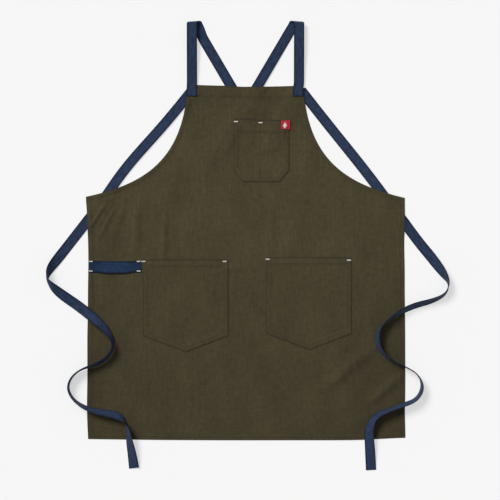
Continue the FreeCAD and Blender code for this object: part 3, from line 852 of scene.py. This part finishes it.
def hem(side):
    """The layers that are turned to the back of an edge: they lie under the panel's cloth."""
    node, from_share, to_share = HEM_NODES[side]
    spots, faces, rim = net(strip(side, from_share, to_share), HEM_RINGS, *PANEL_MESH)
    under = panel_top(spots) - CLOTH
    # A hair thinner than the cloth, and clear of the panel's underside
    points, faces, flat = cloth_shell(spots, faces, rim, under - 0.00002, under - CLOTH + 0.00004)
    return add_piece(node + "_turned", (points, faces, flat[:, [1, 0, 2]]), CANVAS, node)


def threads(name, rows, *nodes, look=OLIVE_THREAD):
    """Rows of stitches as one piece."""
    return add_piece(name, join_up(rows), look, *nodes)


def hem_threads(name, node, *sides):
    return threads(name, [stitch_row(seam(side, *SEAM_SHARES[side]), panel_top) for side in sides], node)


# Pockets

ROWS = (0.002, 0.010)       # how far in from the sewn edges the two rows of stitches are
CHEST_CLIP = (0.024, 0.028)
CHEST_TILT = 0.00225
SLOT_X = 0.037
HIP_POINT = 0.0405
CHEST_HEM, HIP_HEM = 0.0295, 0.015
POCKET_RINGS = [0, 0.0006, 0.0013, 0.0020, 0.0028, 0.0045, 0.0070, 0.0090, 0.0100, 0.0110, 0.0125]
POCKET_MESH = (0.003, 0.0036)
CUT_AT = [0.37, 0.11, 0]    # the pockets are cut from another part of the cloth
POCKET_AIR = 0.00006        # between a pocket and the panel
POCKET_DIMPLE = 0.00035     # a little deeper than in the hems
LABEL_THICK, LABEL_AIR = 0.0007, 0.0002
TACK, LOOP_TACK = (0.0098, 0.0038), (0.0088, 0.0036)


def chest_sides():
    low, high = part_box("chest_pocket")
    clip_x, clip_y = CHEST_CLIP
    return closed_lines([
        (low.x, high.y), (low.x, low.y + clip_y), (low.x + clip_x, low.y),
        (high.x - clip_x, low.y), (high.x, low.y + clip_y), (high.x, high.y - 2 * CHEST_TILT),
    ], 40)


def hip_sides(node):
    low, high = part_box(node)
    middle, shoulder = (low.x + high.x) / 2, low.y + HIP_POINT
    corners = [(low.x, high.y), (low.x, shoulder), (middle, low.y), (high.x, shoulder), (high.x, high.y)]
    return closed_lines(corners, 60)


def mouth_seam(sides, mouth_hem):
    mouth_a, mouth_b = sides[-1][-1], sides[-1][0]
    inwards, below = way_to(mouth_a, mouth_b) * (ROWS[1] + SEAM_IN), np.array([0, -mouth_hem])
    return line(mouth_a + below + inwards, mouth_b + below - inwards, 50)


def pocket_heights(sides, mouth_hem, fullness, gape, slotted):
    """A function that gives the top, the underside and the tone of a pocket's cloth."""
    sewn = np.concatenate([every(side, 0.001) for side in sides[:-1]])
    mouth_a, mouth_b = sides[-1][-1], sides[-1][0]
    span = mouth_b - mouth_a

    def heights(spots):
        depth = distance(spots, sewn)
        share = np.clip(((spots - mouth_a) @ span) / (span @ span), 0, 1)
        below = mouth_a[1] + span[1] * share - spots[:, 1]
        turned = 1 - smooth((depth - ROWS[1] - SEAM_IN) / HEM_STEP)
        turned = np.maximum(turned, 1 - smooth((below - mouth_hem - 0.001) / HEM_STEP))
        belly = smooth((depth - ROWS[1]) / 0.045)
        opening = bump(below / 0.035) * smooth((depth - 0.006) / 0.040)
        rows = sum(bump((depth - row) / 0.0010) for row in ROWS) + bump((below - mouth_hem) / 0.0011)
        if slotted:
            off_slot = spots[:, 0] - SLOT_X
            belly = belly * smooth(np.abs(off_slot) / 0.030)
            opening = opening * smooth(np.abs(off_slot) / 0.025)
            rows = rows + bump(off_slot / 0.0011)
        rows = np.clip(rows, 0, 1)
        under = panel_top(spots) + POCKET_AIR + fullness * belly + gape * opening
        top = under + CLOTH * (1 + turned) - POCKET_DIMPLE * rows
        # Painted shade along the sewn edges and in the stitch grooves, and a painted shadow just under the
        # mouth, where the pocket gapes
        dark = np.maximum(GROOVE_SHADE * rows, EDGE_SHADE * bump(depth / 0.0016))
        dark = np.maximum(dark, MOUTH_SHADOW * bump((below - 0.0004) / 0.0011))
        return top, under, painted_falloff(spots) * (1 - dark)

    return heights


def pocket(node, sides, mouth_hem, fullness, gape, slot=None):
    """Its piece, its rows of stitches, and a function that gives the height on it and round it."""
    heights = pocket_heights(sides, mouth_hem, fullness, gape, slot is not None)
    seams = [mouth_seam(sides, mouth_hem)] + ([] if slot is None else [slot])
    spots, faces, rim = net(sides, POCKET_RINGS, *POCKET_MESH, seams)
    top, under, tone = heights(spots)
    points, faces, flat = cloth_shell(spots, faces, rim, top, under)
    shape = points, faces, flat + CUT_AT
    piece = add_piece(node + "_cloth", shape, CANVAS, node, tone=shell_tone(tone, rim))
    outline = np.concatenate([side[:-1] for side in sides])

    def on_top(spots):
        return np.where(inside(spots, outline), heights(spots)[0], panel_top(spots))

    runs = []
    for depth in ROWS:
        trims = corner_trims(sides, depth)
        run = np.concatenate([inset(s, depth, t, 60) for s, t in zip(sides[:-1], trims)])
        runs.append(run[run[:, 1] < sides[0][0][1] - depth * 0.3])
    return piece, [stitch_row(run, on_top) for run in runs + seams], on_top


def tack_places(node):
    """The middles of the bar tacks in a CAD node, which are all the same size."""
    corners = np.array([v.co[:2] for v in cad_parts[node].data.vertices])
    places = []
    while len(corners):
        near = np.abs(corners - corners[0]).max(1) < 0.0125
        places.append((corners[near].min(0) + corners[near].max(0)) / 2)
        corners = corners[~near]
    return places


def tacks(name, node, places, size, height):
    return threads(name, [satin(place, size, height) for place in places], node, look=CREAM_THREAD)


def pockets():
    low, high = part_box("chest_pocket")
    slot = line((SLOT_X, low.y + ROWS[1]), (SLOT_X, high.y - CHEST_TILT - 0.004), 50)
    left_sides, right_sides = hip_sides("left_hip_pocket"), hip_sides("right_hip_pocket")
    chest, chest_rows, on_chest = pocket("chest_pocket", chest_sides(), CHEST_HEM, 0.0006, 0.0011, slot)
    left, left_rows, on_left = pocket("left_hip_pocket", left_sides, HIP_HEM, 0.0012, 0.0014)
    right, right_rows, on_right = pocket("right_hip_pocket", right_sides, HIP_HEM, 0.0010, 0.0013)
    ride("bib", chest, threads("chest_pocket_threads", chest_rows, "chest_pocket_stitching"))
    ride("skirt", left, right,
         threads("hip_pocket_threads", left_rows + right_rows, "hip_pocket_stitching"))

    places = tack_places("chest_bar_tacks")
    ride("bib", tacks("chest_bar_tack_threads", "chest_bar_tacks", places, TACK, on_chest))
    middle = (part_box("left_hip_pocket")[1].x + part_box("right_hip_pocket")[0].x) / 2

    def on_hips(spots):
        return on_left(spots) if spots[0, 0] < middle else on_right(spots)

    places = tack_places("hip_bar_tacks")
    outer = min(places, key=lambda place: place[0])
    outer[0] -= 0.0050      # this one is sewn across the pocket's edge
    ride("skirt", tacks("hip_bar_tack_threads", "hip_bar_tacks", places, TACK, on_hips))
    ride("bib", *label(on_chest))


def label(on_pocket):
    """A small woven label over the pocket's corner, with a plain lozenge on it."""
    low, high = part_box("label")
    tilt = 0.0003
    corners = [(low.x, high.y + tilt), (low.x, low.y + tilt), (high.x, low.y), (high.x, high.y)]
    sides = closed_lines(corners, 20)
    spots, faces, rim = net(sides, [0, 0.0005, 0.0012, 0.0025], 0.0015, 0.0018)

    def under(points):
        return np.maximum(on_pocket(points), on_pocket(np.minimum(points, [high.x - 0.004, 1]))) + LABEL_AIR

    edge = distance(spots, np.concatenate([every(side, 0.0005) for side in sides]))
    top = under(spots) + LABEL_THICK - 0.0002 * bump((edge - 0.0012) / 0.0004)
    tape = add_piece("label_tape", cloth_shell(spots, faces, rim, top, under(spots)), LABEL_RED, "label")

    centre = np.array([(low.x + high.x) / 2 - 0.0015, (low.y + high.y) / 2 - 0.0015])
    half_width, half_height = 0.0060, 0.0080
    rows = []
    for y in np.arange(-half_height + SATIN_PITCH / 2, half_height, SATIN_PITCH):
        reach = half_width * (1 - abs(y) / half_height)
        if reach > 0.0006:
            rows.append(stitches(np.array([centre + [0, y]]), np.array([[1.0, 0.0]]), 2 * reach, 0.0008,
                                 lambda spots: under(spots) + 0.0008))
    return tape, threads("label_lozenge", rows, look=CREAM_THREAD)


# Towel loop

LOOP_STAND, LOOP_BOW = 0.0018, 0.0014   # how far its middle stands off the cloth, and hangs down
LOOP_WEB = 0.0012


def towel_loop():
    """Wide webbing sewn at both ends, that stands off the cloth and bows downwards between them."""
    low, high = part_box("towel_loop")
    middle_x, middle_y = (low.x + high.x) / 2, (low.y + high.y) / 2
    share = np.linspace(0, 1, 70)
    free = smooth((share - 0.07) / 0.30) * smooth((0.93 - share) / 0.30)    # 0 where it is sewn down
    x, y = low.x + (high.x - low.x) * share, middle_y - LOOP_BOW * free
    z = panel_top(np.c_[x, y]) + WEB / 2 + AIR + LOOP_STAND * free
    tip = 0.10 * free
    half = (high.y - low.y) / 2 + 0.0006 * free
    widths = np.c_[np.zeros(len(x)), np.cos(tip), -np.sin(tip)] * half[:, None]
    middles = np.c_[x, y, z]
    shape = webbing(middles, widths, upward_normals(middles, widths), LOOP_WEB)
    # Painted shade: the webbing is painted darker at its sewn ends, where it lies close on the cloth, than
    # where it stands off
    loop = add_piece("towel_loop_webbing", shape, LOOP_WEBBING, "towel_loop",
                     tone=section_tone(shape, 0.76 + 0.28 * free))

    def on_loop(spots):
        return np.interp(spots[:, 0], x, z) + WEB / 2

    places = tack_places("towel_loop_bar_tacks")
    for place in places:
        place += (-0.0018 if place[0] > middle_x else 0, 0.0022 if place[1] < middle_y else 0)
    ride("skirt", loop, tacks("towel_loop_tack_threads", "towel_loop_bar_tacks", places, LOOP_TACK, on_loop))


# Straps

def front_sway(side, y):
    """How far a strap's front leg strays sideways near the bib."""
    return np.where(side > 0, -0.0024, -0.0008) * (1 - smooth((y - 0.340) / 0.030))


def leaning(angle):
    return -np.array([math.cos(angle), math.sin(angle), 0]) * WEB_WIDTH / 2


def front_of_strap(side, down):
    """From the sewn end on the front of the bib, up the leg and over the roll, to where the back starts."""
    y = np.r_[np.linspace(STRAP_SEWN_Y, BIB_TOP + 0.002, 12), np.linspace(BIB_TOP + 0.008, ROLL_Y, 34)]
    x = side * STRAP_X + front_sway(side, y)
    on_bib = panel_top(np.c_[x, np.minimum(y, BIB_TOP - 0.002)]) + WEB / 2 + AIR
    climb = smooth((y - BIB_TOP + 0.004) / (ROLL_Y - BIB_TOP - 0.020))
    middles = np.c_[x, y, on_bib + (LOW_LAYER + 2 * ROLL - on_bib) * climb]
    widths = np.tile([-WEB_WIDTH / 2, 0, 0], (len(y), 1))
    sections = list(zip(middles, widths, upward_normals(middles, widths)))

    # The roll: it turns over and leans towards the other side as it comes down
    lean_to = math.atan2(down[0], -down[1])
    for turn in np.linspace(0, math.pi, 19)[1:]:
        share = smooth(turn / math.pi)
        spoke = np.array([0, math.sin(turn), math.cos(turn)])
        centre = np.array([side * (STRAP_X - ROLL_SHIFT * share), ROLL_Y, LOW_LAYER + ROLL])
        sections.append((centre + spoke * ROLL, leaning(lean_to * 0.35 * share), spoke))

    # Then it lies flat and swings into line with the back
    line_top = np.array([side * (STRAP_X - ROLL_LEAN[side]), ROLL_Y])
    off_line = sections[-1][0][0] - line_top[0]
    for share in np.linspace(0, 1, 12)[1:-1]:
        x, y = line_top + down * ROLL_END * share
        middle = np.array([x + off_line * (1 - smooth(share)), y, LOW_LAYER])
        sections.append((middle, leaning(lean_to * (0.35 + 0.65 * smooth(share))), np.array([0, 0, -1.0])))
    return sections


def strap(name, side, back, down, *nodes):
    sections = front_of_strap(side, down) + back
    middles, widths, normals = (np.array(column, float) for column in zip(*sections))
    shape = webbing(middles, widths, normals)
    tone = 1 + 0.13 * smooth((lengths(middles) - 0.75) / 0.1)      # the tails are a little lighter
    return add_piece(name, shape, WEBBING, *nodes, tone=section_tone(shape, tone))


def strap_threads():
    """Two rows of stitches across each strap's sewn end, and one down each edge of it."""
    rows = []
    half = WEB_WIDTH / 2 - 0.003
    low, high = STRAP_SEWN_Y + 0.003, BIB_TOP - 0.005
    for side in (-1, 1):
        x = side * STRAP_X + float(front_sway(side, STRAP_SEWN_Y))

        def on_strap(spots):
            return panel_top(np.c_[np.full(len(spots), x), spots[:, 1]]) + WEB + AIR

        for a, b in (((-half, low), (half, low)), ((-half, high), (half, high)),
                     ((-half, low), (-half, high)), ((half, low), (half, high))):
            rows.append(stitch_row(line((x + a[0], a[1]), (x + b[0], b[1]), 20), on_strap))
    return threads("strap_end_threads", rows, "strap_stitching", look=NAVY_THREAD)


KEEPER_HALF, KEEPER_REACH, KEEPER_CLOTH = 0.010, 0.027, 0.0007   # half its width, half its length, its cloth
KEEPER_SEWN, KEEPER_TACKED = 0.023, 0.006                        # where it is sewn, and half of each row


def keeper_place(side):
    """A keeper's middle, the way of the strap through it, and the way across."""
    way = way_to(PIVOT[side], CORNER_FOLD[side])
    return np.array(PIVOT[side]) + way * KEEPER_FROM_PIVOT, way, left_of(way)


def keeper(side, node):
    """A cloth loop sewn behind the wing, that the strap slides through."""
    middle, way, across = keeper_place(side)
    out = np.linspace(-KEEPER_REACH, KEEPER_REACH, 44)
    spots = middle[None] + across[None] * out[:, None]
    under = panel_top(spots) - CLOTH - 0.0005
    drop = 1 - smooth((np.abs(out) - 0.0145) / 0.004)
    middles = np.c_[spots, under * (1 - drop) + 0.0004 * drop]
    widths = np.tile(np.r_[way * KEEPER_HALF, 0], (len(out), 1))
    shape = webbing(middles, widths, upward_normals(middles, widths), KEEPER_CLOTH)
    return add_piece(node + "_cloth", shape, CANVAS, node)


def keeper_threads():
    rows = []
    for side in (-1, 1):
        middle, way, across = keeper_place(side)
        for out in (-KEEPER_SEWN, KEEPER_SEWN):
            spot, half = middle + across * out, way * KEEPER_TACKED
            rows.append(stitch_row(line(spot - half, spot + half, 10), panel_top))
    return threads("keeper_threads", rows, "keeper_stitching")


# Free ties. Each point is x, y, the height that the webbing rests at, all in metres, its tilt in degrees,
# where 0 lies flat and 90 stands on its edge with the outer edge up, and how far it cups, in metres.
LEFT_TIE = [
    (-0.3915, 0.0225, 0.0011, 0, 0), (-0.426, -0.022, 0, 0, 0), (-0.4575, -0.0625, 0, 5, 0),
    (-0.4855, -0.098, 0, 46, -0.003), (-0.4895, -0.1272, 0, 115, -0.006),
    (-0.4548, -0.1575, 0, 172, 0.001), (-0.411, -0.187, 0.0025, 180, 0),
    (-0.3705, -0.219, 0.0025, 206, 0), (-0.3385, -0.248, 0.0025, 240, 0.001),
    (-0.3230, -0.2805, 0.0025, 260, 0.0015), (-0.336, -0.31, 0.0025, 252, 0.0015),
    (-0.367, -0.331, 0.0025, 244, 0.001), (-0.4025, -0.3395, 0.0025, 262, 0.0015),
    (-0.4305, -0.361, 0, 265, 0.0025), (-0.44, -0.39, 0, 265, 0.002),
    (-0.423, -0.4195, 0.002, 264, 0.001), (-0.389, -0.44, 0.0025, 250, 0),
    (-0.3495, -0.4495, 0.0025, 238, 0), (-0.309, -0.456, 0.0025, 224, 0),
    (-0.291, -0.4815, 0.0025, 288, 0.002), (-0.2855, -0.521, 0.0025, 316, 0),
    (-0.279, -0.5535, 0, 334, 0), (-0.275, -0.5865, 0, 352, 0),
]
RIGHT_TIE = [
    (0.3915, 0.0205, 0.0011, 0, 0), (0.4235, -0.024, 0, 0, 0), (0.457, -0.064, 0, 8, 0),
    (0.487, -0.105, 0, 40, 0.001), (0.503, -0.1345, 0, 95, 0.0015), (0.4905, -0.1595, 0, 110, 0.0015),
    (0.457, -0.1745, 0, 122, 0.001), (0.42, -0.184, 0.002, 128, 0), (0.388, -0.1975, 0.0025, 126, 0),
    (0.3575, -0.216, 0.0025, 110, 0.001), (0.3315, -0.236, 0.0025, 90, 0.002),
    (0.322, -0.2655, 0.0025, 64, 0.001), (0.3305, -0.295, 0.0025, 70, 0.001),
    (0.358, -0.321, 0.0025, 80, 0.001), (0.3925, -0.3355, 0.0025, 84, 0.0015),
    (0.4245, -0.352, 0.001, 94, 0.002), (0.438, -0.3865, 0, 76, 0.001), (0.4220, -0.4170, 0.002, 76, 0),
    (0.388, -0.43, 0.0025, 70, 0), (0.349, -0.4435, 0.0025, 74, 0), (0.316, -0.4595, 0.0025, 62, 0),
    (0.3035, -0.493, 0.0025, 34, 0), (0.306, -0.525, 0.0025, 22, 0), (0.3085, -0.559, 0, 10, 0),
    (0.31, -0.5915, 0, 0, 0),
]


def nurbs(points):
    """Closely spaced points on the smooth line that a list of points controls."""
    curve = bpy.data.curves.new("route", "CURVE")
    curve.dimensions = "3D"
    spline = curve.splines.new("NURBS")
    spline.points.add(len(points) - 1)
    for knot, point in zip(spline.points, points):
        knot.co = (*point, 1.0)
    spline.order_u = 3
    spline.use_endpoint_u = True
    spline.resolution_u = 12
    holder = bpy.data.objects.new("route", curve)
    mesh = bpy.data.meshes.new_from_object(holder)
    spots = np.array([v.co for v in mesh.vertices], float)
    bpy.data.objects.remove(holder)
    bpy.data.curves.remove(curve)
    bpy.data.meshes.remove(mesh)
    return spots


def resting(middles, outwards, tilt):
    """How high the cloth holds each part of a tie, over the whole width that lies on it."""
    reach = outwards * (np.abs(np.cos(tilt)) * WEB_WIDTH / 2 + 0.001)[:, None]
    held = np.zeros(len(middles))
    for u in np.linspace(-1, 1, 7):
        spots = middles + reach * u
        held = np.maximum(held, np.where(inside(spots, OUTLINE), panel_top(spots), 0))
    held[lengths(middles) < 0.06] = 0       # here it still lies under the wing
    near = np.max([np.roll(held, shift) for shift in range(-4, 5)], 0)
    return np.convolve(near, np.hanning(11)[1:-1] / np.hanning(11).sum(), "same")


def tie(name, side, route, node):
    """Limp webbing that lies flat, stands on its edge and turns over along its route."""
    place = nurbs([(x, y, rest) for x, y, rest, _, _ in route])
    twist = nurbs([(t / 1000, i / 100, cup) for i, (_, _, _, t, cup) in enumerate(route)])
    tilt, cup = np.radians(twist[:, 0] * 1000), twist[:, 2]
    held = resting(place[:, :2], left_of(directions(place[:, :2])), tilt)
    place[:, 2] = np.maximum(place[:, 2], held)
    start, way = np.array(PIVOT[side]), way_to(CORNER_FOLD[side], PIVOT[side])
    hidden = np.linspace(-JOINT_FROM_PIVOT, 0, 8)[:-1]
    place = np.r_[np.c_[start + way * hidden[:, None], np.full(len(hidden), place[0, 2])], place]
    tilt, cup = (np.r_[np.zeros(len(hidden)), column] for column in (tilt, cup))
    outwards = left_of(directions(place[:, :2])) * side
    flatness, steepness = np.cos(tilt), np.sin(tilt)
    lift = WEB_WIDTH / 2 * np.abs(steepness) + (WEB + np.abs(cup)) / 2 * np.abs(flatness)
    middles = np.c_[place[:, :2], place[:, 2] + lift]
    widths = np.c_[outwards * flatness[:, None], steepness] * WEB_WIDTH / 2
    normals = np.c_[-outwards * steepness[:, None], flatness]
    run = lengths(middles)
    turned_end = smooth((run - run[-1] + 0.011) / 0.0015)
    shape = webbing(middles, widths, normals, WEB * (1 + 0.7 * turned_end), cup)
    piece = add_piece(name, shape, WEBBING, node)
    return piece


# Assembly

def bend(*pieces):
    """Bakes each piece's placement into its points, without attaching it to the skirt or the bib."""
    for piece in pieces:
        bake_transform(piece)


def ride(body, *pieces):
    for piece in pieces:
        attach(piece, body)


def build():
    cloth = panel()
    hems = {side: hem(side) for side in HEM_NODES}
    bend(cloth, hems["left_arm"], hems["right_arm"], hems["left"], hems["right"],
         hem_threads("bib_hem_threads", "bib_hem_stitching", "top", "left_arm", "right_arm"),
         hem_threads("skirt_hem_threads", "skirt_hem_stitching", "bottom", "left", "right"))
    ride("bib", hems["top"])
    ride("skirt", hems["bottom"])
    pockets()
    towel_loop()
    bend(strap("left_strap_webbing", -1, left_back, left_down, "left_shoulder_strap", "right_strap_tail"),
         strap("right_strap_webbing", 1, right_back, right_down, "right_shoulder_strap", "left_strap_tail"))
    ride("bib", strap_threads())
    ride("skirt", keeper(-1, "left_keeper"), keeper(1, "right_keeper"), keeper_threads())
    for side, body, route in ((-1, "left_tie", LEFT_TIE), (1, "right_tie", RIGHT_TIE)):
        webbing_tie = tie(body + "_webbing", side, route, body)
        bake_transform(webbing_tie)


build()


# Stage

FRAME_WIDTH = 1.235
CAMERA_HEIGHT = 4.0
VIEW_CENTRE = (0.0111, -0.0482)


def floor():
    material, _ = new_material("paper", {
        "Base Color": (0.54, 0.54, 0.54, 1), "Roughness": 1.0, "Specular IOR Level": 0.0,
        "Emission Color": (1, 1, 1, 1), "Emission Strength": 0.552,
    })
    bpy.ops.mesh.primitive_plane_add(size=60, location=(0, 0, -0.0003))
    plane = bpy.context.object
    plane.name = "paper_floor"
    plane.data.materials.append(material)


def lights():
    world = bpy.data.worlds.new("studio")
    bpy.context.scene.world = world
    world.use_nodes = True
    world.node_tree.nodes["Background"].inputs[0].default_value = (1, 1, 1, 1)
    world.node_tree.nodes["Background"].inputs[1].default_value = 0.24
    lamp = bpy.data.lights.new("key", "SUN")
    lamp.angle = math.radians(24)
    lamp.energy = 2.08
    put("key", lamp).rotation_euler = Vector((2.3, -2.5, -3.2)).to_track_quat("-Z", "Y").to_euler()


def camera():
    data = bpy.data.cameras.new("camera")
    data.sensor_width = 36
    data.lens = 36 * CAMERA_HEIGHT / FRAME_WIDTH
    holder = put("camera", data)
    holder.location = (*VIEW_CENTRE, CAMERA_HEIGHT)
    bpy.context.scene.camera = holder


floor()
lights()
camera()
bpy.context.scene.view_settings.view_transform = "Standard"
